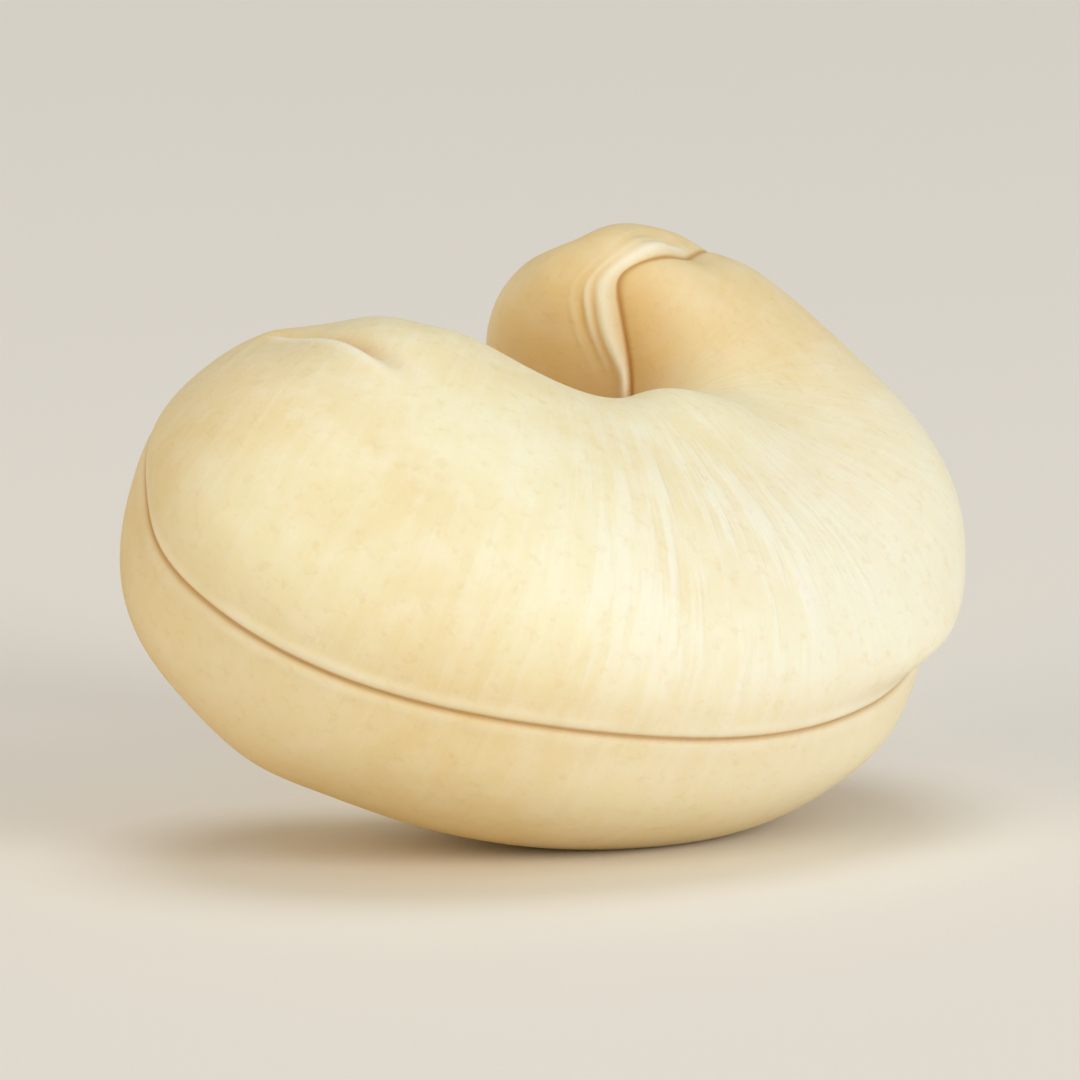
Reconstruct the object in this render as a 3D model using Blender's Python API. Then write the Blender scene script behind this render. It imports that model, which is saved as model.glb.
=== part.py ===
"""A shelled cashew kernel, lying on a small flat spot under its belly.

The nut is one body: a fat rounded head, a belly that curls and twists, and a slimmer hooked tail.
Its two halves meet in a shallow groove that runs all the way round, over both ends.

The form is a sphere whose points are moved by one formula. A point's height on the sphere gives
its share of the way from head to tail, and its longitude gives the side of the nut that it is on.
Longitude 0 is the seam on the outside of the curl, 180 degrees is the seam inside the notch, the
near half lies between them on one side and the far half on the other.
Lengths are in millimetres up to the last step, which turns them into metres.
"""

import math

import bmesh
import bpy
import numpy as np
from mathutils import Euler, Vector

MM = 0.001
SIDES = 64  # round the nut
RINGS = 90  # from head to tail

# The middle line: its length, how far it turns in all, and where and how tightly it bends
LENGTH = 25.8
TURN = math.radians(249)
BEND_AT = 0.862
BEND_SPREAD = 0.416
EVEN_BEND = 0.12  # bend that is there over the whole length, as a share of the tightest
FINE_STEPS = 400

# The line also climbs out of its own plane: with the way from the middle, its square and its cube
CLIMB = (2.75, 2.5, 0.45)

# Half widths of the section, at four even stations from head to tail, before the ends round off
OUTWARD = (7.35, 7.2, 6.1, 4.0)
NEAR_HALF = (4.4, 4.95, 4.05, 4.0)
FAR_HALF = (6.7, 6.45, 5.85, 6.8)
# The side that faces the notch is slimmer: its share of the outward width at head, middle and tail
INWARD_SHARE = (0.98, 0.56, 0.67)
OUTER_SQUARENESS = 2.2
INNER_SQUARENESS = 2.4
HEAD_BLUNTNESS = 3.9
TAIL_BLUNTNESS = 3.65
TWIST = np.radians((-25.5, -4.5, 39))

# Low swells and hollows: share of the way, longitude, height, reach along the way, reach round
SWELLS = (
    (0.71, 33, 0.6, 0.09, 30),  # the near half is fuller on the outside of the bend
    (0.82, 42, -0.15, 0.07, 30),  # and a little flatter past it
    (0.6, 120, 0.75, 0.12, 36),  # and fills the bottom of the notch
    (0.57, 320, 0.1, 0.06, 28),  # the far half has a low corner under the bend
    (0.47, 266, 1.0, 0.15, 24),  # the far half is broad under the belly, where the nut lies
    (0.075, 126, -0.8, 0.06, 42),  # the head is pressed in on top
    (0.035, 357, -0.45, 0.035, 12),  # the groove is deeper over the head's end
    (0.63, 0, -0.25, 0.06, 9),  # and on the outside of the bend
    (0.953, 325, -0.5, 0.035, 22),  # the tail's end has a dip in the far half
    (0.955, 50, -0.5, 0.04, 24),  # and slopes more steeply in the near half
)

# The groove between the halves
SEAM_DEPTH = 0.22
SEAM_REACH = 12.5  # degrees round the nut
SEAM_CROWDING = 0.55  # how much closer the sides stand near the seam
SEAM_SAG = (0.2, 0.14, 0.28)  # under the head: share of the way, reach, how far into the far half
# Round the tail's end the seam swings into the near half, and further where it turns over the tip
SWING_GROWS = (0.7, 0.92)  # between these shares of the way
SWING_INSIDE = 0.42
TURN_GROWS = (0.86, 0.96)
SWING_OVER_TIP = 1.8
TIP_CORNER = (-0.5, 0.15)  # how far out of the curl it turns, and how softly
SWING_REACH = 0.75

# Where the nut lies: turned out of the plane of its curl, then cut by the ground
LIE = Euler((math.radians(23.8), math.radians(17.4), math.radians(40.4)))
FLAT_SPOT_DEPTH = 0.25

IVORY = (0.84, 0.71, 0.45, 1.0)
WAXY_ROUGHNESS = 0.5


def through(values, s):
    """The smooth curve through values at even stations from 0 to 1, read at s."""
    stations = np.linspace(0, 1, len(values))
    return np.polyval(np.polyfit(stations, values, len(values) - 1), s)


def running_sum(values):
    """The area under values so far, one step apart, starting from nothing."""
    return np.concatenate([[0], np.cumsum((values[1:] + values[:-1]) / 2)])


def smooth_step(low, high, x):
    """0 below low, 1 above high, and the usual smooth cubic between."""
    t = np.clip((x - low) / (high - low), 0, 1)
    return t * t * (3 - 2 * t)


def bell(x, reach):
    """A bell curve of height 1 that has fallen to a third at the reach."""
    return np.exp(-((x / reach) ** 2))


def middle_line(s):
    """Points on the curled line at shares s of its length, and the ways out of the curl and sideways."""
    fine = np.linspace(0, 1, FINE_STEPS + 1)
    middle = FINE_STEPS // 2
    heading = running_sum(EVEN_BEND + bell(fine - BEND_AT, BEND_SPREAD))
    heading *= TURN / heading[-1]
    heading -= heading[middle]
    way = fine * 2 - 1
    climb = sum(rise * way**power for power, rise in enumerate(CLIMB, 1))
    line = np.stack([running_sum(np.cos(heading)), running_sum(np.sin(heading)), climb], axis=1)
    line[:, :2] = (line[:, :2] - line[middle, :2]) * LENGTH / FINE_STEPS
    slope = np.gradient(climb, fine) / LENGTH

    points = np.stack([np.interp(s, fine, column) for column in line.T], axis=1)
    heading = np.interp(s, fine, heading)
    forward = np.stack([np.cos(heading), np.sin(heading), np.interp(s, fine, slope)], axis=1)
    forward /= np.linalg.norm(forward, axis=1, keepdims=True)
    outward = np.stack([np.sin(heading), -np.cos(heading), 0 * heading], axis=1)
    sideways = np.cross(outward, forward)
    twist = through(TWIST, s)[:, None]
    return (
        points,
        np.cos(twist) * outward + np.sin(twist) * sideways,
        np.cos(twist) * sideways - np.sin(twist) * outward,
    )


def turned_from(longitude, degrees):
    """The angle from a place round the nut, the short way, in degrees."""
    return (np.degrees(longitude) - degrees + 180) % 360 - 180


def section_radius(s, longitude):
    """How far the surface stands from the middle line."""
    across = np.cos(longitude)
    aside = np.sin(longitude)
    outward = through(OUTWARD, s)
    width = np.where(across > 0, outward, outward * through(INWARD_SHARE, s))
    half = np.where(aside > 0, through(NEAR_HALF, s), through(FAR_HALF, s))
    mean_power = (OUTER_SQUARENESS + INNER_SQUARENESS) / 2
    power = mean_power + (OUTER_SQUARENESS - INNER_SQUARENESS) / 2 * across
    radius = (np.abs(across / width) ** power + np.abs(aside / half) ** power) ** (-1 / power)

    for share, place, height, along, around in SWELLS:
        radius += height * bell(s - share, along) * bell(turned_from(longitude, place), around)
    return radius


def end_rounding(s):
    """1 along the body, falling to 0 at both tips as on a blunt dome."""
    to_head = np.clip(1 - 2 * s, 0, 1)
    to_tail = np.clip(2 * s - 1, 0, 1)
    return np.sqrt((1 - to_head**HEAD_BLUNTNESS) * (1 - to_tail**TAIL_BLUNTNESS))


def seam_place(s, outward):
    """How far the seam stands into the near half, for places that are outward of the middle line."""
    share, reach, sag = SEAM_SAG
    corner, softness = TIP_CORNER
    past_corner = softness * np.logaddexp(0, (outward - corner) / softness)
    over_tip = SWING_OVER_TIP * (1 - np.exp(-past_corner / SWING_REACH))
    swing = smooth_step(*SWING_GROWS, s) * SWING_INSIDE + smooth_step(*TURN_GROWS, s) * over_tip
    return swing - sag * bell(s - share, reach)


def groove_depth(s, longitude, radius):
    """The depth of the groove between the halves, which fades out at both tips."""
    off_seam = radius * np.sin(longitude) - seam_place(s, radius * np.cos(longitude))
    degrees_off = np.degrees(off_seam / np.maximum(radius, 0.3))
    return SEAM_DEPTH * bell(degrees_off, SEAM_REACH) * np.minimum(1, end_rounding(s) * 2.5)


def kernel_surface(s, longitude):
    """Points on the nut, in the plane of its curl: the middle line plus the section around it."""
    points, outward, sideways = middle_line(s)
    radius = section_radius(s, longitude) * end_rounding(s)
    radius = radius - groove_depth(s, longitude, radius)
    return (
        points
        + (radius * np.cos(longitude))[:, None] * outward
        + (radius * np.sin(longitude))[:, None] * sideways
    )


def laid_down(points):
    """The points as the nut lies, with the ground at height 0 cutting off its flat spot."""
    points = points @ np.array(LIE.to_matrix()).T
    points[:, 2] -= points[:, 2].min() + FLAT_SPOT_DEPTH
    middle = (points.min(axis=0) + points.max(axis=0)) / 2
    return points - [middle[0], middle[1], 0]


def crowded(longitude):
    """The sides moved closer together near both seams, so that the groove is drawn cleanly."""
    return longitude - SEAM_CROWDING / 2 * np.sin(2 * longitude)


def move_to_kernel(bm):
    """Moves the points of a unit sphere to the nut's surface."""
    sphere = np.array([vert.co for vert in bm.verts])
    s = (1 - sphere[:, 2]) / 2
    longitude = crowded(np.arctan2(sphere[:, 1], sphere[:, 0]))
    for vert, place in zip(bm.verts, laid_down(kernel_surface(s, longitude)) * MM):
        vert.co = place


def cut_flat_spot(bm):
    """Cuts the nut level with the ground and closes the cut with one flat face."""
    cut = bmesh.ops.bisect_plane(
        bm,
        geom=bm.verts[:] + bm.edges[:] + bm.faces[:],
        dist=1e-7,
        plane_co=Vector((0, 0, 0)),
        plane_no=Vector((0, 0, 1)),
        clear_inner=True,
    )
    rim = [item for item in cut["geom_cut"] if isinstance(item, bmesh.types.BMEdge)]
    bmesh.ops.edgeloop_fill(bm, edges=rim)
    bmesh.ops.recalc_face_normals(bm, faces=bm.faces[:])


def kernel_material():
    material = bpy.data.materials.new("blanched cashew flesh")
    material.use_nodes = True
    shader = material.node_tree.nodes["Principled BSDF"]
    shader.inputs["Base Color"].default_value = IVORY
    shader.inputs["Roughness"].default_value = WAXY_ROUGHNESS
    shader.inputs["Metallic"].default_value = 0.0
    return material


def add_kernel(collection):
    bm = bmesh.new()
    bmesh.ops.create_uvsphere(bm, u_segments=SIDES, v_segments=RINGS, radius=1)
    move_to_kernel(bm)
    cut_flat_spot(bm)
    mesh = bpy.data.meshes.new("cashew_kernel")
    bm.to_mesh(mesh)
    bm.free()
    mesh.shade_smooth()
    mesh.materials.append(kernel_material())
    collection.objects.link(bpy.data.objects.new("cashew_kernel", mesh))


def main():
    for obj in list(bpy.data.objects):
        bpy.data.objects.remove(obj, do_unlink=True)
    collection = bpy.data.collections.new("cashew nut")
    bpy.context.scene.collection.children.link(collection)
    add_kernel(collection)


if __name__ == "__main__":
    main()
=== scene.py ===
"""A shelled cashew nut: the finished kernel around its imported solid, with a plain studio stage.

The kernel is one surface. A point on it has two parameters: its share s of the way from head to
tail, and its longitude round the nut. Longitude 0 is the seam on the outside of the curl and 180
degrees the seam inside the notch; the near half lies between them at 90 degrees and the far half
at 270. Lengths are in millimetres up to the last step, which turns them into metres.
"""

import math

import bpy
import numpy as np
from bpy.props import FloatProperty, FloatVectorProperty, PointerProperty
from mathutils import Euler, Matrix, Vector


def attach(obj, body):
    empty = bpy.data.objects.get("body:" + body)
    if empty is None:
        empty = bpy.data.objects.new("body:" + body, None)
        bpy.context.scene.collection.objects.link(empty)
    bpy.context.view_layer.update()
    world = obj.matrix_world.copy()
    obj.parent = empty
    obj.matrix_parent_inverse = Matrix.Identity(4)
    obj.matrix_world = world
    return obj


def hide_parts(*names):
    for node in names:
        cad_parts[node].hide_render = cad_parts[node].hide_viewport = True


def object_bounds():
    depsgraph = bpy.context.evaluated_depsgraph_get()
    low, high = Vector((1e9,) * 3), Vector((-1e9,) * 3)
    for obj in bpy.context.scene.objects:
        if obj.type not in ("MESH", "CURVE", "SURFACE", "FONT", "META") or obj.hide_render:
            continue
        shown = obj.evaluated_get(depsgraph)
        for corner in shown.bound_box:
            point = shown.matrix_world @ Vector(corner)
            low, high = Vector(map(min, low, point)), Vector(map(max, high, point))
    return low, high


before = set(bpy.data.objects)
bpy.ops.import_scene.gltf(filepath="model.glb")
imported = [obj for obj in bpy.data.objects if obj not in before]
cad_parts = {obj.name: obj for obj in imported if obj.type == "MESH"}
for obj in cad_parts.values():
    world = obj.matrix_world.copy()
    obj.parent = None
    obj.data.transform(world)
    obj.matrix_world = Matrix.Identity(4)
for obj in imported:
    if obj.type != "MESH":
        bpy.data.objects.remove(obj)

bl_info = {
    "name": "Cashew nut",
    "version": (1, 0, 0),
    "blender": (4, 5, 0),
    "location": "3D View > Sidebar > Cashew",
    "description": "Builds a shelled cashew kernel and the stage it lies on",
    "category": "Add Mesh",
}

CAD_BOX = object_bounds()
NODE = "cashew_kernel"
MM = 0.001

# The grid of the finished surface
SIDES = 300  # round the nut
RINGS = 328  # from head to tail
SEAM_CROWDING = 0.55  # how much closer the sides stand near the seam

# The form, with the same values as the solid's.
# The middle line: its length, how far it turns in all, and where and how tightly it bends
LENGTH = 25.8
TURN = math.radians(249)
BEND_AT = 0.862
BEND_SPREAD = 0.416
EVEN_BEND = 0.12  # bend that is there over the whole length, as a share of the tightest
FINE_STEPS = 400
# The line also climbs out of its own plane: with the way from the middle, its square and its cube
CLIMB = (2.75, 2.5, 0.45)
# Half widths of the section, at even stations from head to tail, before the ends round off
OUTWARD = (7.35, 7.2, 6.1, 4.0)
NEAR_HALF = (4.4, 4.95, 4.05, 4.0)
FAR_HALF = (6.7, 6.45, 5.85, 6.8)
# The side that faces the notch is slimmer: its share of the outward width at head, middle and tail
INWARD_SHARE = (0.98, 0.56, 0.67)
OUTER_SQUARENESS = 2.2
INNER_SQUARENESS = 2.4
HEAD_BLUNTNESS = 3.9
TAIL_BLUNTNESS = 3.65
TWIST = np.radians((-25.5, -4.5, 39))
SWELLS = (  # share of the way, longitude, height, reach along the way, reach round
    (0.71, 33, 0.6, 0.09, 30),  # the near half is fuller on the outside of the bend
    (0.82, 42, -0.15, 0.07, 30),  # and a little flatter past it
    (0.6, 120, 0.75, 0.12, 36),  # and fills the bottom of the notch
    (0.57, 320, 0.1, 0.06, 28),  # the far half has a low corner under the bend
    (0.47, 266, 1.0, 0.15, 24),  # the far half is broad under the belly, where the nut lies
    (0.075, 126, -0.8, 0.06, 42),  # the head is pressed in on top
    (0.035, 357, -0.45, 0.035, 12),  # the groove is deeper over the head's end
    (0.63, 0, -0.25, 0.06, 9),  # and on the outside of the bend
    (0.953, 325, -0.5, 0.035, 22),  # the tail's end has a dip in the far half
    (0.955, 50, -0.5, 0.04, 24),  # and slopes more steeply in the near half
)
# How the nut lies: turned out of the plane of its curl
LIE = Euler((math.radians(23.8), math.radians(17.4), math.radians(40.4)))

# Where the seam runs: it sags into the far half under the head
GROOVE_REACH = 12.5  # degrees round the nut
SEAM_SAG = (0.2, 0.14, 0.28)  # share of the way, reach, depth
# Round the tail's end it swings into the near half, and further where it turns over the tip
SWING_GROWS = (0.7, 0.92)  # between these shares of the way
SWING_INSIDE = 0.42
TURN_GROWS = (0.86, 0.96)
SWING_OVER_TIP = 1.8
TIP_CORNER = (-0.5, 0.15)  # how far out of the curl it turns, and how softly
SWING_REACH = 0.75

# Finer shape, which the solid doesn't have
FINER_SWELLS = (  # in the same order as above
    (0.628, 12, 0.38, 0.042, 9),  # the near half bulges over the groove on the outside of the bend
    (0.06, 132, -0.22, 0.04, 24),  # the head is a little slimmer at its top edge
    (0.185, 144, -0.22, 0.04, 22),  # and so is the edge that hides the notch
    (0.235, 318, 0.22, 0.05, 20),  # the far half is fuller under the head
    (0.605, 347, 0.16, 0.04, 10),  # and under the groove at the bend
)
BEND_SAG = (0.65, 0.06, 0.45)  # the seam sags at the bend too: share of the way, reach, depth
# How far each end is pressed in, and where that starts, as shares of the length
HEAD_PRESSED = 0.01
HEAD_PRESSED_FROM = 0.13
TAIL_PRESSED = 0.002
TAIL_PRESSED_FROM = 0.88
HEAD_END = (0.1, 0.04)  # a dent in an end grows to its depth between these shares of the way
TAIL_END = (0.88, 0.94)
END_DENTS = (  # which end, mm out of the curl, mm towards the near half, depth, reach
    (HEAD_END, 2.0, -1.7, 0.25, 1.3),
    (TAIL_END, 1.8, -1.3, 0.45, 0.7),
    (TAIL_END, 0.4, -2.3, 0.25, 0.8),
    (TAIL_END, 0.3, -1.1, 0.1, 0.35),
    (TAIL_END, -0.9, -1.9, 0.1, 0.5),
    (TAIL_END, 1.6, 1.5, 0.25, 0.8),
)
TIP_FADE = 2.5  # the relief fades at both tips, where the section is less than 1 / 2.5 as wide
LEAST_RADIUS = 0.3  # keeps the angles from the seam small where the section shrinks to a point

# Slow waves: how many there are in a sum, and for each use its seed and how many radians of a
# typical wave the nut's length holds
WAVES = 10
WANDER_SEED = 11
WANDER_PACE = 14  # waves 12 mm long
EDGE_SEED = 3
EDGE_PACE = 40  # waves 4 mm long
DENT_SEED = 5
DENT_PACE = 16  # waves 10 mm long
DENT_ROUND = 2.2  # one or two waves round the nut
SIDES_APART = 2  # sets the waves outside the curl apart from those inside it, so that they differ

# Marks along the seam, in mm unless a comment says otherwise
SEAM_WANDER = 0.06
WANDER_GROWS = (1, 3)  # between these distances from the middle line
OUTSIDE = (0, 2)  # the outside of the curl begins between these
CLEFTS = (  # where the groove is deeper outside the curl: share of the way, reach, share added
    (0.045, 0.045, 0.5),
    (0.63, 0.07, 0.6),
)
CLEFT_REACH = 8  # degrees round the nut
LINE_REACH = 0.085
LIP_OFF_LINE = 0.3
LIP_REACH = 0.17
FAR_LIP = 0.5  # as a share of the near lip
# The seam's edges come and go: their usual height, its change, the least and the most
EDGE_HEIGHT = 0.65
EDGE_CHANGE = 0.45
EDGE_LIMITS = (0.1, 1.2)

# The crease on the tail, with its ridge and puckers
CREASE_GROWS = (0.78, 0.9)  # between these shares of the way
CREASE_INSIDE = (2.4, 1.2)  # and it fades out between these distances out of the curl
CREASE_SHALLOWER = 0.7  # the share of its depth that the groove loses there
NEAR_TIP = (0.9, 0.97)
RIDGE_GROWS = (0.84, 0.9)
RIDGE_OFF_SEAM = 0.2
RIDGE_WIDENS = 0.28  # how much further off it stands near the tip
RIDGE_REACH = 0.6  # as a share of how far off it stands
PUCKER_SPACING = 0.42
PUCKERS_PAST_RIDGE = 0.45
PUCKERS_REACH = 0.4
PUCKER_SHARE = 0.35  # of the ridge's height

# The fold on top of the head, in degrees round the nut and shares of the way
FOLD_MIDDLE = 0.067
FOLD_LINE = (122, -450, 1100)  # its longitude there, and the slant and the bend of its line
FOLD_STARTS = (0.03, 0.06)
FOLD_ENDS = (0.215, 0.13)
CREST_REACH = 3.5
CREST_SHARE = 0.4  # of the fold's depth
FOLD_HOLLOW = (9, 6)  # how far past the line, and its reach
DIP_GROWS = (0, 12)  # a broad dip further on: degrees past the line
DIP_REACH = 50
DIP_SHARE = 0.4

# Broad dents, lowered so that they hardly stand out of the form, and rings near the head's end
DENTS_LOWERED = 0.8
HEAD_RINGS = (0.03, 100, 0.018, 40)  # share of the way, longitude, reach along, reach round
RING_SHARE = 0.3  # of the dents' height

# Where the flesh changes colour, and where painted shade and highlights lie on it
PAINTED_HIGHLIGHT = (0.6, 28, 0.18, 50)  # a painted highlight, palest on the outside of the bend; in the order of the rings
WRINKLED = (0.47, 40, 0.11, 45)  # the fibres show most across the belly; in the same order
WRINKLED_ALL_OVER = 0.15
# Painted golden shade on the underside and on both ends
UNDERSIDE = (298, 40)  # longitude, reach
UNDERSIDE_STARTS = (0, 0.08)  # shares of the way
UNDERSIDE_ENDS = (0.92, 0.75)
SHADED_HEAD = (0.4, 0.08)  # how much, and its reach
SHADED_TAIL = 0.4
SHADED_TAIL_GROWS = (0.7, 0.9)
# The bottom of the notch has painted golden shade, and in each half that grows between distances in
# mm
NOTCH_GROWS = (0.52, 0.74)  # shares of the way
NEAR_NOTCH = 0.5  # how strong the painted shade is on the near half there, where the far half is 1
NEAR_NOTCH_INWARD = (0.6, -2.2)  # out of the curl, so less than 0 is towards the notch
NEAR_NOTCH_ASIDE = (2.4, 0.2)  # from the seam
FAR_NOTCH_INWARD = (0.6, -3.4)
FAR_NOTCH_ASIDE = (-1, -4)  # towards the near half, so less than 0 is the far half
FAR_NOTCH_BY_SEAM = 0.6  # how strong the painted shade is on the far half beside the seam
BEHIND_FOLD = 0.5  # how strong the painted shade is in the hollow behind the fold
# How strong the painted highlight is on each mark that stands up; the fold's crest has the most, at
# 1
LIPS_HIGHLIGHT = 0.5
RIDGE_HIGHLIGHT = 0.9
PUCKERS_HIGHLIGHT = 0.5

# The colour sockets of a Mix node, which can't be told apart by name
MIX_FACTOR = 0
MIX_A = 6
MIX_B = 7
MIX_RESULT = 2

# The stage, in metres and watts
LIGHTS = (  # name, place, width, power, colour
    ("key", (0.42, -0.36, 0.2), 0.32, 1.6, "#FFFFFF"),
    ("fill", (-0.38, -0.36, 0.18), 0.35, 0.88, "#FFE6BC"),
    ("top", (0, 0.1, 0.5), 0.3, 0.62, "#FFFFFF"),
)
SKY_COLOUR = "#FFFAF0"
SKY_STRENGTH = 0.36
FLOOR_REACH = 2.5
FLOOR_ROUGHNESS = 0.8
SENSOR_WIDTH = 36  # mm
PICTURE_WIDTH = 0.0272  # at the nut, which fills about four fifths of it
NEAREST_SEEN = 0.05


def linear(code):
    """An sRGB hex colour as linear red, green and blue."""
    values = np.array([int(code[i : i + 2], 16) for i in (1, 3, 5)]) / 255
    return tuple(np.where(values <= 0.04045, values / 12.92, ((values + 0.055) / 1.055) ** 2.4))


def small_length(name, description, millimetres):
    """A property for a height or depth, kept in metres, with its default in millimetres."""
    return FloatProperty(
        name=name, description=description, default=millimetres * MM, min=0,
        subtype="DISTANCE", unit="LENGTH", precision=5,
    )


def plain_colour(name, description, code):
    """A property for a colour, with its default as an sRGB hex code."""
    return FloatVectorProperty(
        name=name, description=description, default=linear(code), size=3, min=0, max=1,
        subtype="COLOR",
    )


class KernelRelief(bpy.types.PropertyGroup):
    """Heights and depths of what stands on the kernel's form."""

    groove: small_length("Groove", "Depth of the groove between the halves", 0.18)
    seam: small_length("Seam line", "Depth of the fine line in the groove", 0.08)
    lip: small_length("Seam lip", "Height of the edges along the line", 0.055)
    ridge: small_length("Tail ridge", "Height of the ridge beside the tail's crease", 0.15)
    fold: small_length("Head fold", "Depth of the fold on top of the head", 0.32)
    dents: small_length("Dents", "Height of the broad unevenness", 0.06)


class KernelColours(bpy.types.PropertyGroup):
    """Colours of the blanched kernel, peeled after drying, and of the painted shade and highlights
    on it.
    """

    cream: plain_colour("Cream", "The pale flesh", "#F6F0CC")
    ivory: plain_colour("Ivory", "The duller flesh between", "#F1E3B5")
    # Pale also makes the painted highlight on the seam's lips, the ridge, the fold's crest and the
    # outside of the bend
    pale: plain_colour("Pale", "Raised edges and fibres", "#FFFDEE")
    # Straw is the speckle's colour and the painted shade on the underside, the ends and in the
    # groove
    straw: plain_colour("Straw", "Flesh that dried more", "#DCB260")
    # Golden is the painted shade deep in the notch and behind the head's fold
    golden: plain_colour("Golden", "Flesh deep in the notch", "#DDA040")
    brown: plain_colour("Brown", "The fine seam line", "#C2924A")


class StudioStage(bpy.types.PropertyGroup):
    """The floor and the camera."""

    elevation: FloatProperty(
        name="Camera elevation", description="How far the camera looks down",
        default=math.radians(10), subtype="ANGLE",
    )
    distance: FloatProperty(
        name="Camera distance", description="From the camera to the nut", default=1.2,
        subtype="DISTANCE", unit="LENGTH",
    )
    floor: plain_colour("Floor", "The plain pale floor", "#F5F3EE")


def through(values, s):
    """The smooth curve through values at even stations from 0 to 1, read at s."""
    stations = np.linspace(0, 1, len(values))
    return np.polyval(np.polyfit(stations, values, len(values) - 1), s)


def running_sum(values):
    """The area under values so far, one step apart, starting from nothing."""
    return np.concatenate([[0], np.cumsum((values[1:] + values[:-1]) / 2)])


def smooth_step(low, high, x):
    """0 at low, 1 at high, level past both, and the usual smooth cubic between."""
    t = np.clip((x - low) / (high - low), 0, 1)
    return t * t * (3 - 2 * t)


def bell(x, reach):
    """A bell curve of height 1 that has fallen to about a third at the reach."""
    return np.exp(-((x / reach) ** 2))


def turned_from(longitude, degrees):
    """The angle from a place round the nut, the short way, in degrees."""
    return (np.degrees(longitude) - degrees + 180) % 360 - 180


def patch(s, longitude, share, place, reach_along, reach_round):
    """A bell along the nut times a bell round it, which is 1 at its own share and place."""
    return bell(s - share, reach_along) * bell(turned_from(longitude, place), reach_round)


def swelling(swells, s, longitude):
    """The sum of the swells, each a patch times its height."""
    return sum(
        height * patch(s, longitude, share, place, reach_along, reach_round)
        for share, place, height, reach_along, reach_round in swells
    )


def slow_waves(seed, *coordinates):
    """A sum of sine waves in random directions over the coordinates, within about -1 and 1."""
    rng = np.random.default_rng(seed)
    total = 0
    for _ in range(WAVES):
        direction = rng.normal(size=len(coordinates))
        phase = sum(pace * coordinate for pace, coordinate in zip(direction, coordinates))
        total = total + np.sin(phase + rng.uniform(0, 2 * math.pi))
    return total / (WAVES / 2)


def middle_line(s):
    """The curled middle line at shares s, with the ways out of the curl and sideways.

    The heading is the running sum of a bell of bend plus an even bend, the line is the running sum
    of the heading's cosine and sine, and a cubic makes it climb out of its plane.
    """
    fine = np.linspace(0, 1, FINE_STEPS + 1)
    middle = FINE_STEPS // 2
    heading = running_sum(EVEN_BEND + bell(fine - BEND_AT, BEND_SPREAD))
    heading *= TURN / heading[-1]
    heading -= heading[middle]
    way = fine * 2 - 1
    climb = sum(rise * way**power for power, rise in enumerate(CLIMB, 1))
    line = np.stack([running_sum(np.cos(heading)), running_sum(np.sin(heading)), climb], axis=1)
    line[:, :2] = (line[:, :2] - line[middle, :2]) * LENGTH / FINE_STEPS
    slope = np.gradient(climb, fine) / LENGTH

    points = np.stack([np.interp(s, fine, column) for column in line.T], axis=-1)
    heading = np.interp(s, fine, heading)
    forward = np.stack([np.cos(heading), np.sin(heading), np.interp(s, fine, slope)], axis=-1)
    forward /= np.linalg.norm(forward, axis=-1, keepdims=True)
    outward = np.stack([np.sin(heading), -np.cos(heading), 0 * heading], axis=-1)
    sideways = np.cross(outward, forward)
    twist = through(TWIST, s)[..., None]
    return (
        points,
        np.cos(twist) * outward + np.sin(twist) * sideways,
        np.cos(twist) * sideways - np.sin(twist) * outward,
    )


def section_radius(s, longitude):
    """A section of four quarter ovals with a rounded-square power, plus the swells."""
    across = np.cos(longitude)
    aside = np.sin(longitude)
    outward = through(OUTWARD, s)
    width = np.where(across > 0, outward, outward * through(INWARD_SHARE, s))
    half = np.where(aside > 0, through(NEAR_HALF, s), through(FAR_HALF, s))
    mean_power = (OUTER_SQUARENESS + INNER_SQUARENESS) / 2
    power = mean_power + (OUTER_SQUARENESS - INNER_SQUARENESS) / 2 * across
    radius = (np.abs(across / width) ** power + np.abs(aside / half) ** power) ** (-1 / power)
    return radius + swelling(SWELLS, s, longitude)


def end_rounding(s):
    """1 along the body, falling to 0 at both tips as on a blunt dome."""
    to_head = np.clip(1 - 2 * s, 0, 1)
    to_tail = np.clip(2 * s - 1, 0, 1)
    return np.sqrt((1 - to_head**HEAD_BLUNTNESS) * (1 - to_tail**TAIL_BLUNTNESS))


def pressed_in(s):
    """The shares of the way with both ends moved towards the middle by a smooth step."""
    at_head = HEAD_PRESSED * smooth_step(HEAD_PRESSED_FROM, 0, s)
    return s + at_head - TAIL_PRESSED * smooth_step(TAIL_PRESSED_FROM, 1, s)


def around(points, outward, sideways, radius, longitude):
    """The middle line moved outward by radius times cosine and sideways by radius times sine."""
    return (
        points
        + (radius * np.cos(longitude))[..., None] * outward
        + (radius * np.sin(longitude))[..., None] * sideways
    )


def seam_distance(s, outward, aside):
    """How far a point stands from the seam, in mm, positive on the near half.

    The seam lies in the plane between the halves, plus slow waves. Bells make it sag into the far
    half under the head and at the bend. A smooth step swings it into the near half round the tail,
    and a step that levels off past a soft corner swings it further over the tip.
    """
    wander = SEAM_WANDER * slow_waves(WANDER_SEED, s * WANDER_PACE, np.sign(outward) * SIDES_APART)
    wander *= smooth_step(*WANDER_GROWS, np.abs(outward))
    sag = sum(depth * bell(s - share, reach) for share, reach, depth in (SEAM_SAG, BEND_SAG))
    corner, softness = TIP_CORNER
    past_corner = softness * np.logaddexp(0, (outward - corner) / softness)
    over_tip = SWING_OVER_TIP * (1 - np.exp(-past_corner / SWING_REACH))
    swing = smooth_step(*SWING_GROWS, s) * SWING_INSIDE + smooth_step(*TURN_GROWS, s) * over_tip
    return aside - wander - swing + sag


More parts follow.
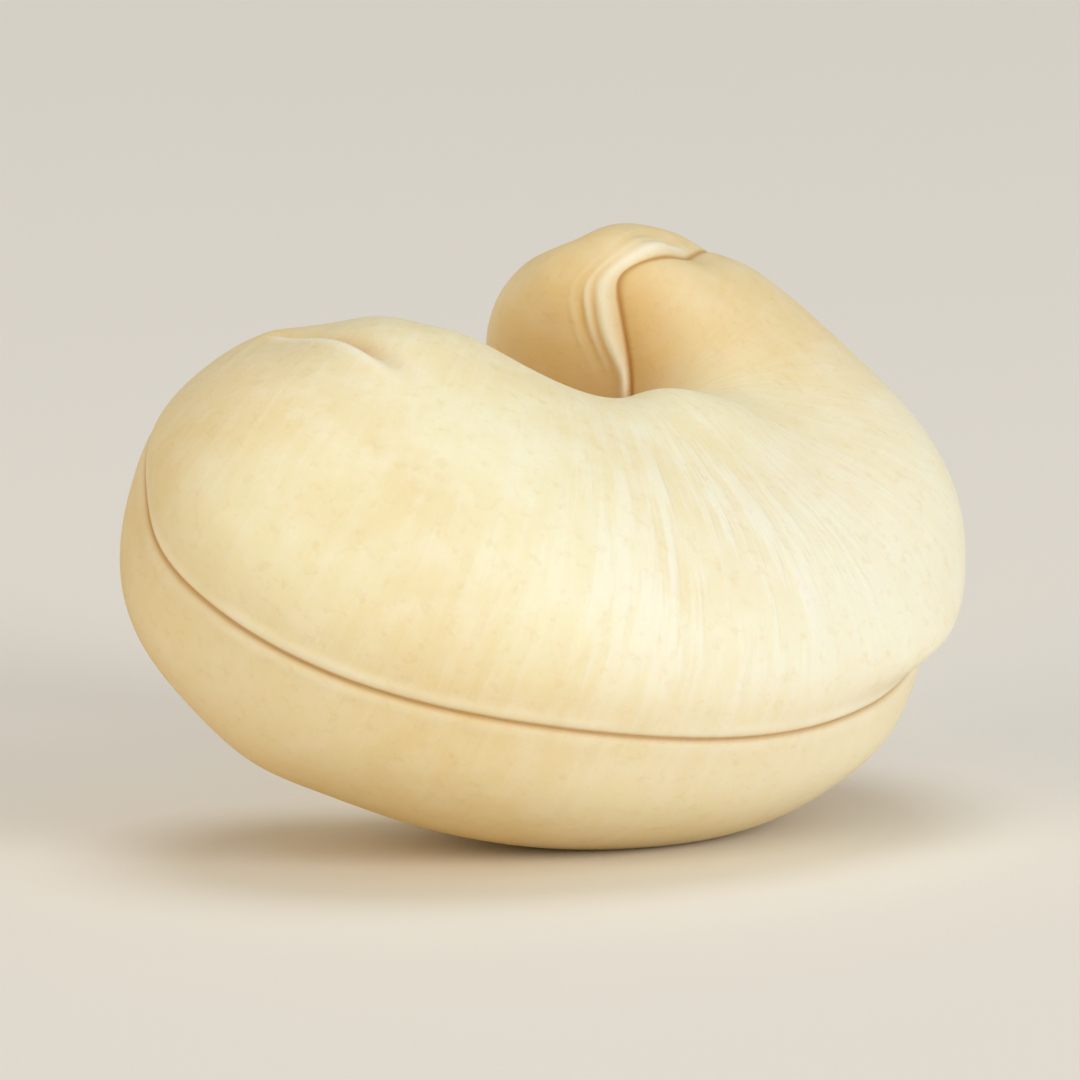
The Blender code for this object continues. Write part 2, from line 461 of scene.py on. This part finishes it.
class Places:
    """Where the grid's points stand, in the ways that the marks on the nut need."""

    def __init__(self, s, longitude, radius):
        self.s = s
        self.longitude = longitude
        self.outward = radius * np.cos(longitude)  # mm out of the curl
        self.aside = radius * np.sin(longitude)  # mm towards the near half
        self.off_seam = seam_distance(s, self.outward, self.aside)
        self.degrees_off = np.degrees(self.off_seam / np.maximum(radius, LEAST_RADIUS))
        # 1 where the seam is the tail's crease, and how strongly the seam's edges show
        self.on_crease = smooth_step(*CREASE_GROWS, s) * smooth_step(*CREASE_INSIDE, self.outward)
        waves = slow_waves(EDGE_SEED, s * EDGE_PACE, np.sign(self.outward) * SIDES_APART)
        self.edges = np.clip(EDGE_HEIGHT + EDGE_CHANGE * waves, *EDGE_LIMITS)


def seam_marks(at):
    """The groove, its clefts, the fine line in it and the lips beside the line.

    Each is a bell of the distance from the seam. Bells along the way make the clefts, and the
    lips come and go with slow waves and end where the crease begins.
    """
    groove = bell(at.degrees_off, GROOVE_REACH)
    clefts = sum(added * bell(at.s - share, reach) for share, reach, added in CLEFTS)
    clefts = smooth_step(*OUTSIDE, at.outward) * clefts * bell(at.degrees_off, CLEFT_REACH)
    line = bell(at.off_seam, LINE_REACH)
    lips = bell(at.off_seam - LIP_OFF_LINE, LIP_REACH)
    lips = lips + FAR_LIP * bell(at.off_seam + LIP_OFF_LINE, LIP_REACH)
    return groove, clefts, line, lips * at.edges * (1 - at.on_crease)


def crease_marks(at):
    """The ridge beside the crease on the tail, and the puckers past it.

    The ridge is a bell of the distance from the seam, further off and wider near the tip. The
    puckers are a cosine of the distance past the ridge, under a bell.
    """
    near_tip = smooth_step(*NEAR_TIP, at.s)
    apart = RIDGE_OFF_SEAM + RIDGE_WIDENS * near_tip
    ridge = bell(at.off_seam + apart, RIDGE_REACH * apart)
    ridge = at.on_crease * smooth_step(*RIDGE_GROWS, at.s) * ridge
    past_ridge = -at.off_seam - apart
    puckers = np.cos(2 * math.pi * past_ridge / PUCKER_SPACING)
    puckers = puckers * bell(past_ridge - PUCKERS_PAST_RIDGE, PUCKERS_REACH)
    return ridge, puckers * at.on_crease * near_tip * at.edges


def fold_marks(at):
    """The crest of the fold on the head, the hollow behind it and the broad dip further on.

    They are bells of the angle past the fold's line, whose longitude is a square curve of the
    share of the way, and smooth steps end them along it.
    """
    longitude, slant, bend = FOLD_LINE
    onward = at.s - FOLD_MIDDLE
    past_line = np.degrees(at.longitude) - (longitude + slant * onward + bend * onward**2)
    along = smooth_step(*FOLD_STARTS, at.s) * smooth_step(*FOLD_ENDS, at.s)
    hollow_at, hollow_reach = FOLD_HOLLOW
    return (
        along * bell(past_line, CREST_REACH),
        along * bell(past_line - hollow_at, hollow_reach),
        along * smooth_step(*DIP_GROWS, past_line) * bell(past_line, DIP_REACH),
    )


def end_dents(at):
    """The depth of the dents on both ends, each a bell of the distance from its own place."""
    return sum(
        depth * smooth_step(*end, at.s) * bell(np.hypot(at.outward - out, at.aside - aside), reach)
        for end, out, aside, depth, reach in END_DENTS
    )


def unevenness(at):
    """Slow waves over the whole nut, lowered, plus a cosine of the way under a patch: the rings."""
    across = np.cos(at.longitude) * DENT_ROUND
    aside = np.sin(at.longitude) * DENT_ROUND
    rings = np.cos(2 * math.pi * at.s * LENGTH / PUCKER_SPACING)
    rings = RING_SHARE * patch(at.s, at.longitude, *HEAD_RINGS) * rings
    return slow_waves(DENT_SEED, at.s * DENT_PACE, across, aside) - DENTS_LOWERED + rings


def notch_shade(at):
    """Painted shade by how deep in the notch a point is: smooth steps of its distances inward and
    aside.
    """
    near = NEAR_NOTCH * smooth_step(*NEAR_NOTCH_INWARD, at.outward)
    near = near * smooth_step(*NEAR_NOTCH_ASIDE, at.off_seam)
    further = smooth_step(*FAR_NOTCH_ASIDE, at.aside)
    far = smooth_step(*FAR_NOTCH_INWARD, at.outward)
    far = far * (FAR_NOTCH_BY_SEAM + (1 - FAR_NOTCH_BY_SEAM) * further)
    return smooth_step(*NOTCH_GROWS, at.s) * np.where(at.off_seam > 0, near, far)


def shaded_flesh(at):
    """Painted shade on the underside and both ends, by smooth steps and bells along the way and
    round the nut.
    """
    place, reach = UNDERSIDE
    underside = smooth_step(*UNDERSIDE_STARTS, at.s) * smooth_step(*UNDERSIDE_ENDS, at.s)
    underside = underside * bell(turned_from(at.longitude, place), reach)
    strength, head_reach = SHADED_HEAD
    ends = strength * bell(at.s, head_reach) + SHADED_TAIL * smooth_step(*SHADED_TAIL_GROWS, at.s)
    return underside + ends


def relief(at, heights):
    """The height of what stands on or sinks into the form, and a mask for each kind of mark.

    The height is the finer swells and dents, plus each mark times its own height. The masks go
    from 0 to 1 and lead the colours.
    """
    groove, clefts, line, lips = seam_marks(at)
    ridge, puckers = crease_marks(at)
    crest, behind, dip = fold_marks(at)

    height = swelling(FINER_SWELLS, at.s, at.longitude) - end_dents(at)
    height -= heights["groove"] * (groove * (1 - CREASE_SHALLOWER * at.on_crease) + clefts)
    height -= heights["seam"] * line
    height += heights["lip"] * lips
    height += heights["ridge"] * (ridge + PUCKER_SHARE * puckers)
    height += heights["fold"] * (CREST_SHARE * crest - behind - DIP_SHARE * dip)
    height += heights["dents"] * unevenness(at)

    # painted highlight on the seam's lips, the tail's ridge and puckers, and the fold's crest
    raised_highlight = LIPS_HIGHLIGHT * lips + RIDGE_HIGHLIGHT * ridge + PUCKERS_HIGHLIGHT * puckers + crest
    fibres = patch(at.s, at.longitude, *WRINKLED)
    masks = {
        # also leads a painted shade of straw in the groove
        "groove": groove,
        "line": line,
        # painted highlight on the marks that stand up
        "raised_highlight": np.clip(raised_highlight, 0, 1),
        # painted shade deep in the notch and in the hollow behind the fold
        "hollow": np.clip(notch_shade(at) + BEHIND_FOLD * behind, 0, 1),
        # painted shade on the underside and the ends
        "shaded": np.clip(shaded_flesh(at), 0, 1),
        # painted highlight, palest on the outside of the bend
        "painted_highlight": patch(at.s, at.longitude, *PAINTED_HIGHLIGHT),
        "wrinkled": WRINKLED_ALL_OVER + (1 - WRINKLED_ALL_OVER) * fibres,
    }
    return height, masks


def laid_down(points, form):
    """The points as the nut lies, moved as its form without relief is to fill the frame's box.

    The box's floor is the ground, which cuts off the flat spot.
    """
    turn = np.array(LIE.to_matrix()).T
    low, high = (np.array(corner) / MM for corner in CAD_BOX)
    form = (form @ turn).reshape(-1, 3)
    middle = (form.min(axis=0) + form.max(axis=0)) / 2
    return np.clip(points @ turn - [middle[0], middle[1], form[:, 2].max() - high[2]], low, high)


def kernel_grid():
    """The share of the way and the longitude of each point.

    The rings stand at even angles between a sphere's poles, and a sine crowds the even sides
    towards the seam.
    """
    polar = np.linspace(0, math.pi, RINGS + 1)[1:-1]
    s = ((1 - np.cos(polar)) / 2)[:, None]
    even = np.linspace(0, 2 * math.pi, SIDES, endpoint=False)[None, :]
    longitude = even - SEAM_CROWDING / 2 * np.sin(2 * even)
    return np.broadcast_arrays(s, longitude)


def kernel_surface(heights):
    """The finished surface as a grid and its two end points, with the values that lead colours.

    Each point stands on the middle line's section at the form's radius plus the relief.
    """
    s, longitude = kernel_grid()
    rounding = end_rounding(s)
    radius = section_radius(s, longitude) * rounding
    form = around(*middle_line(s), radius, longitude)
    height, values = relief(Places(s, longitude, radius), heights)
    radius = radius + height * np.minimum(1, rounding * TIP_FADE)
    surface = around(*middle_line(pressed_in(s)), radius, longitude)
    ends = middle_line(pressed_in(np.array([0.0, 1.0])))[0]
    everything = laid_down(np.concatenate([surface.reshape(-1, 3), ends]), form)

    across = radius * np.cos(longitude)
    values["grain"] = np.stack([s * LENGTH, across, radius * np.sin(longitude)], axis=-1)
    return everything[:-2].reshape(surface.shape), everything[-2:], values


def closed_grid_faces(rings, sides):
    """Quads between neighbouring rings, wrapped round, and a fan of triangles to each end point."""
    index = np.arange(rings * sides).reshape(rings, sides)
    right = np.roll(index, -1, axis=1)
    quads = np.stack([index[:-1], index[1:], right[1:], right[:-1]], axis=-1).reshape(-1, 4)
    head = rings * sides
    tail = head + 1
    first = np.stack([np.full(sides, head), index[0], right[0]], axis=-1)
    last = np.stack([np.full(sides, tail), right[-1], index[-1]], axis=-1)
    return quads, first, last


def mesh_from_grid(name, points, ends):
    """A closed mesh from a grid of points and its two end points."""
    rings, sides = points.shape[:2]
    quads, first, last = closed_grid_faces(rings, sides)
    coordinates = np.concatenate([points.reshape(-1, 3), ends]) * MM
    loops = np.concatenate([quads.ravel(), first.ravel(), last.ravel()])
    sizes = np.concatenate([np.full(len(quads), 4), np.full(len(first) + len(last), 3)])
    starts = np.concatenate([[0], np.cumsum(sizes)[:-1]])

    mesh = bpy.data.meshes.new(name)
    mesh.vertices.add(len(coordinates))
    mesh.vertices.foreach_set("co", coordinates.astype(np.float32).ravel())
    mesh.loops.add(len(loops))
    mesh.loops.foreach_set("vertex_index", loops.astype(np.int32))
    mesh.polygons.add(len(sizes))
    mesh.polygons.foreach_set("loop_start", starts.astype(np.int32))
    mesh.update(calc_edges=True)
    mesh.validate()
    mesh.shade_smooth()
    return mesh


def add_attribute(mesh, name, values):
    """A value or vector for each point, with the two end points filled from their neighbours."""
    vector = values.ndim == 3
    flat = values.reshape(-1, 3) if vector else values.ravel()
    ends = [values[0].mean(axis=0), values[-1].mean(axis=0)]
    flat = np.concatenate([flat, np.array(ends)])
    attribute = mesh.attributes.new(name, "FLOAT_VECTOR" if vector else "FLOAT", "POINT")
    attribute.data.foreach_set("vector" if vector else "value", flat.astype(np.float32).ravel())


def link(name, data):
    """Adds an object with its data to the scene, at the origin."""
    obj = bpy.data.objects.new(name, data)
    bpy.context.scene.collection.objects.link(obj)
    return obj


def add_node(tree, kind, inputs=None, **settings):
    """Adds a node with its settings.

    The inputs map a socket's name, or its number where names repeat, to a value or to another
    node's socket.
    """
    node = tree.nodes.new(kind)
    for key, value in settings.items():
        setattr(node, key, value)
    for key, value in (inputs or {}).items():
        if isinstance(value, bpy.types.NodeSocket):
            tree.links.new(value, node.inputs[key])
        else:
            node.inputs[key].default_value = value
    return node


def add_patterns(tree, patterns):
    """Noise for each pattern, rising smoothly from 0 to 1 between two of its values."""
    results = {}
    for name, vector, scale, detail, roughness, low, high in patterns:
        noise = add_node(
            tree, "ShaderNodeTexNoise",
            {"Vector": vector, "Scale": scale, "Detail": detail, "Roughness": roughness},
        ).outputs["Fac"]
        results[name] = add_node(
            tree, "ShaderNodeMapRange", {"Value": noise, "From Min": low, "From Max": high},
            interpolation_type="SMOOTHSTEP",
        ).outputs["Result"]
    return results


def add_layers(tree, colour, layers):
    """A colour with others laid over it in turn, each by a share times its strength."""
    for share, strength, over in layers:
        amount = add_node(
            tree, "ShaderNodeMath", {0: share, 1: strength}, operation="MULTIPLY"
        ).outputs[0]
        colour = add_node(
            tree, "ShaderNodeMix", {MIX_FACTOR: amount, MIX_A: colour, MIX_B: (*over, 1)},
            data_type="RGBA",
        ).outputs[MIX_RESULT]
    return colour


def blanched_flesh(colours):
    """Blanched cashew flesh: peeled after drying, which leaves it dense and oily with a waxy skin.

    To the eye it is matt with a broad soft gloss, and light goes a little way into it. Pale
    fibres run round it across its length. Golden painted shade lies on its underside and ends,
    in the groove and deep in the notch, and painted highlights lie on the seam's lips, the
    tail's ridge, the fold's crest and the outside of the bend.
    """
    material = bpy.data.materials.new("blanched cashew flesh")
    material.use_nodes = True
    tree = material.node_tree
    shader = tree.nodes["Principled BSDF"]
    place = add_node(tree, "ShaderNodeTexCoord").outputs["Object"]
    grain = add_node(tree, "ShaderNodeAttribute", attribute_name="grain").outputs["Vector"]
    mask = {
        name: add_node(tree, "ShaderNodeAttribute", attribute_name=name).outputs["Fac"]
        for name in ("groove", "line", "raised_highlight", "hollow", "shaded", "painted_highlight", "wrinkled")
    }
    # The grain is in mm along the nut, out of its curl and aside, so the noise changes four times
    # in a mm along the nut and once in 3 mm round it
    fibrous = add_node(
        tree, "ShaderNodeMapping", {"Vector": grain, "Scale": (4.2, 0.3, 0.3)}
    ).outputs["Vector"]
    # Each pattern: what it is read along, scale, detail, roughness, and the two values
    pattern = add_patterns(tree, (
        ("patches", place, 190, 3, 0.5, 0.36, 0.66),  # about 5 mm across
        ("mottle", place, 900, 3, 0.6, 0.4, 0.7),  # about 1 mm across
        ("fibres", fibrous, 1, 2, 0.5, 0.4, 0.66),  # 0.25 to 0.5 mm apart, a few mm long
        ("speckle", place, 3000, 2, 0.6, 0.52, 0.8),  # 0.3 mm, as fine as the render shows
    ))
    wrinkles = add_node(
        tree, "ShaderNodeMath", {0: pattern["fibres"], 1: mask["wrinkled"]}, operation="MULTIPLY"
    ).outputs[0]

    flesh = add_layers(tree, (*colours.ivory, 1), (
        (pattern["patches"], 1.0, colours.cream),
        (pattern["mottle"], 0.28, colours.pale),
        # painted highlight on the outside of the bend
        (mask["painted_highlight"], 0.6, colours.pale),
        (wrinkles, 0.7, colours.pale),
        # painted shade on the underside and the ends
        (mask["shaded"], 0.85, colours.straw),
        (pattern["speckle"], 0.15, colours.straw),
        # painted shade deep in the notch and in the hollow behind the fold
        (mask["hollow"], 0.9, colours.golden),
        # painted shade in the groove
        (mask["groove"], 0.22, colours.straw),
        # painted highlight on the seam's lips, the tail's ridge and puckers, and the fold's crest
        (mask["raised_highlight"], 0.7, colours.pale),
        (mask["line"], 0.85, colours.brown),
    ))
    tree.links.new(flesh, shader.inputs["Base Color"])

    coarse = add_node(
        tree, "ShaderNodeBump", {"Height": wrinkles, "Strength": 0.5, "Distance": 0.08 * MM}
    ).outputs["Normal"]
    fine = add_node(
        tree, "ShaderNodeBump",
        {"Height": pattern["speckle"], "Strength": 0.3, "Distance": 0.03 * MM, "Normal": coarse},
    ).outputs["Normal"]
    tree.links.new(fine, shader.inputs["Normal"])

    for socket, value in (
        ("Roughness", 0.56),
        ("IOR", 1.46),  # oily flesh
        ("Subsurface Weight", 0.35),
        ("Subsurface Radius", (1.0, 0.75, 0.4)),  # red goes furthest
        ("Subsurface Scale", 1.2 * MM),
    ):
        shader.inputs[socket].default_value = value
    return material


def matt_paper(colour):
    """Plain uncoated paper: pulp pressed without a gloss, so it shows soft shadows and no shine."""
    material = bpy.data.materials.new("matt paper floor")
    material.use_nodes = True
    shader = material.node_tree.nodes["Principled BSDF"]
    shader.inputs["Base Color"].default_value = (*colour, 1)
    shader.inputs["Roughness"].default_value = FLOOR_ROUGHNESS
    return material


class OBJECT_OT_cashew_kernel(bpy.types.Operator):
    """Adds the finished kernel in place of its solid."""

    bl_idname = "object.cashew_kernel"
    bl_label = "Cashew Kernel"

    def execute(self, context):
        sizes = context.scene.kernel_relief
        heights = {name: getattr(sizes, name) / MM for name in sizes.__annotations__}
        surface, ends, values = kernel_surface(heights)
        mesh = mesh_from_grid("kernel_flesh", surface, ends)
        for name, value in values.items():
            add_attribute(mesh, name, value)
        kernel = link("kernel_flesh", mesh)
        mesh.materials.append(blanched_flesh(context.scene.kernel_colours))
        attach(kernel, "root")
        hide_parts(NODE)
        return {"FINISHED"}


class SCENE_OT_studio_stage(bpy.types.Operator):
    """Adds the floor, the soft lights and the camera."""

    bl_idname = "scene.studio_stage"
    bl_label = "Studio Stage"

    def execute(self, context):
        stage = context.scene.studio_stage
        centre = (CAD_BOX[0] + CAD_BOX[1]) / 2
        self.add_floor(stage)
        for light in LIGHTS:
            self.add_light(*light, centre)
        self.add_sky(context)
        self.add_camera(context, stage, centre)
        context.scene.view_settings.view_transform = "Standard"
        return {"FINISHED"}

    def add_floor(self, stage):
        mesh = bpy.data.meshes.new("floor")
        low, high = -FLOOR_REACH, FLOOR_REACH
        corners = [(low, low, 0), (high, low, 0), (high, high, 0), (low, high, 0)]
        mesh.from_pydata(corners, [], [(0, 1, 2, 3)])
        floor = link("floor", mesh)
        mesh.materials.append(matt_paper(stage.floor))

    def add_light(self, name, place, width, power, colour, aim):
        data = bpy.data.lights.new(name, "AREA")
        data.shape = "DISK"
        data.size = width
        data.energy = power
        data.color = linear(colour)
        lamp = link(name, data)
        lamp.location = place
        lamp.rotation_euler = (aim - lamp.location).to_track_quat("-Z", "Y").to_euler()

    def add_sky(self, context):
        world = bpy.data.worlds.new("soft studio")
        world.use_nodes = True
        sky = world.node_tree.nodes["Background"]
        sky.inputs["Color"].default_value = (*linear(SKY_COLOUR), 1)
        sky.inputs["Strength"].default_value = SKY_STRENGTH
        context.scene.world = world

    def add_camera(self, context, stage, centre):
        data = bpy.data.cameras.new("camera")
        data.sensor_width = SENSOR_WIDTH
        data.lens = SENSOR_WIDTH * stage.distance / PICTURE_WIDTH
        data.clip_start = NEAREST_SEEN
        camera = link("camera", data)
        back = Vector((0, -math.cos(stage.elevation), math.sin(stage.elevation)))
        camera.location = centre + back * stage.distance
        camera.rotation_euler = (-back).to_track_quat("-Z", "Y").to_euler()
        context.scene.camera = camera


class VIEW3D_PT_cashew(bpy.types.Panel):
    """The nut's sizes and colours, and the buttons that build it."""

    bl_label = "Cashew"
    bl_idname = "VIEW3D_PT_cashew"
    bl_space_type = "VIEW_3D"
    bl_region_type = "UI"
    bl_category = "Cashew"

    def draw(self, context):
        scene = context.scene
        for title, group in (
            ("Relief", scene.kernel_relief),
            ("Colours", scene.kernel_colours),
            ("Stage", scene.studio_stage),
        ):
            box = self.layout.box()
            box.label(text=title)
            for name in group.__annotations__:
                box.prop(group, name)
        self.layout.operator(OBJECT_OT_cashew_kernel.bl_idname)
        self.layout.operator(SCENE_OT_studio_stage.bl_idname)


CLASSES = (
    KernelRelief,
    KernelColours,
    StudioStage,
    OBJECT_OT_cashew_kernel,
    SCENE_OT_studio_stage,
    VIEW3D_PT_cashew,
)


def register():
    for cls in CLASSES:
        bpy.utils.register_class(cls)
    bpy.types.Scene.kernel_relief = PointerProperty(type=KernelRelief)
    bpy.types.Scene.kernel_colours = PointerProperty(type=KernelColours)
    bpy.types.Scene.studio_stage = PointerProperty(type=StudioStage)


def unregister():
    del bpy.types.Scene.studio_stage
    del bpy.types.Scene.kernel_colours
    del bpy.types.Scene.kernel_relief
    for cls in reversed(CLASSES):
        bpy.utils.unregister_class(cls)


def main():
    """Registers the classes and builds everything."""
    register()
    bpy.ops.object.cashew_kernel()
    bpy.ops.scene.studio_stage()


if __name__ == "__main__":
    main()
